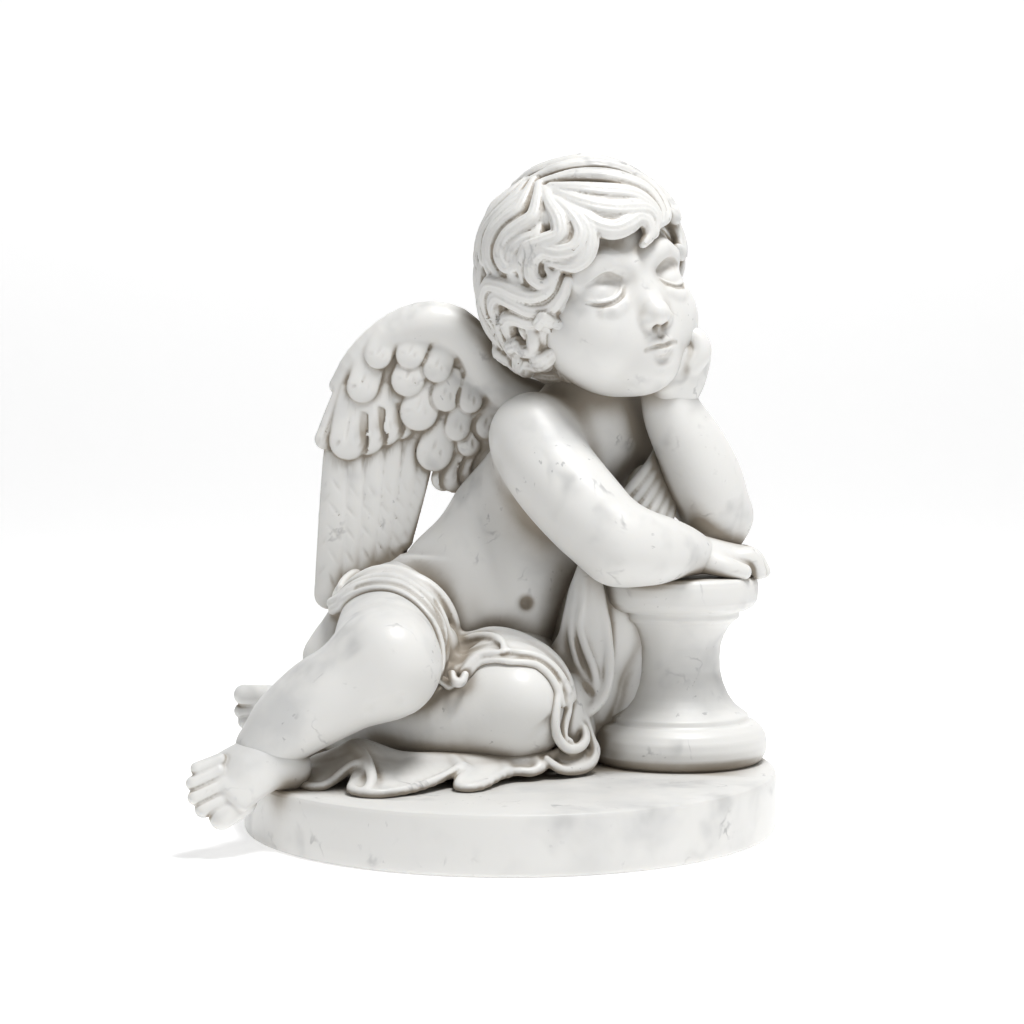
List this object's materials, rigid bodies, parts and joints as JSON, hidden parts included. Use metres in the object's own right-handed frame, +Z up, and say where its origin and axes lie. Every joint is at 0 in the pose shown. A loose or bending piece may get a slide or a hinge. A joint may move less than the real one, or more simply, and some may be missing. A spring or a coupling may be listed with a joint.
{
  "type": "statue",
  "caption": "Carved marble statue of a dozing winged child seated on a round plinth and leaning on a short turned column.",
  "frame": {"origin": "centre of the round plinth's underside", "axes": "+Z up from the plinth's underside, -Y towards the front that the picture shows, +X towards the column"},
  "size_m": [0.354, 0.3691, 0.4185],
  "materials": {
    "marble": "white marble with soft grey veins, lightly polished"
  },
  "bodies": {
    "root": {"putto_statue": "marble"}
  },
  "joints": []
}
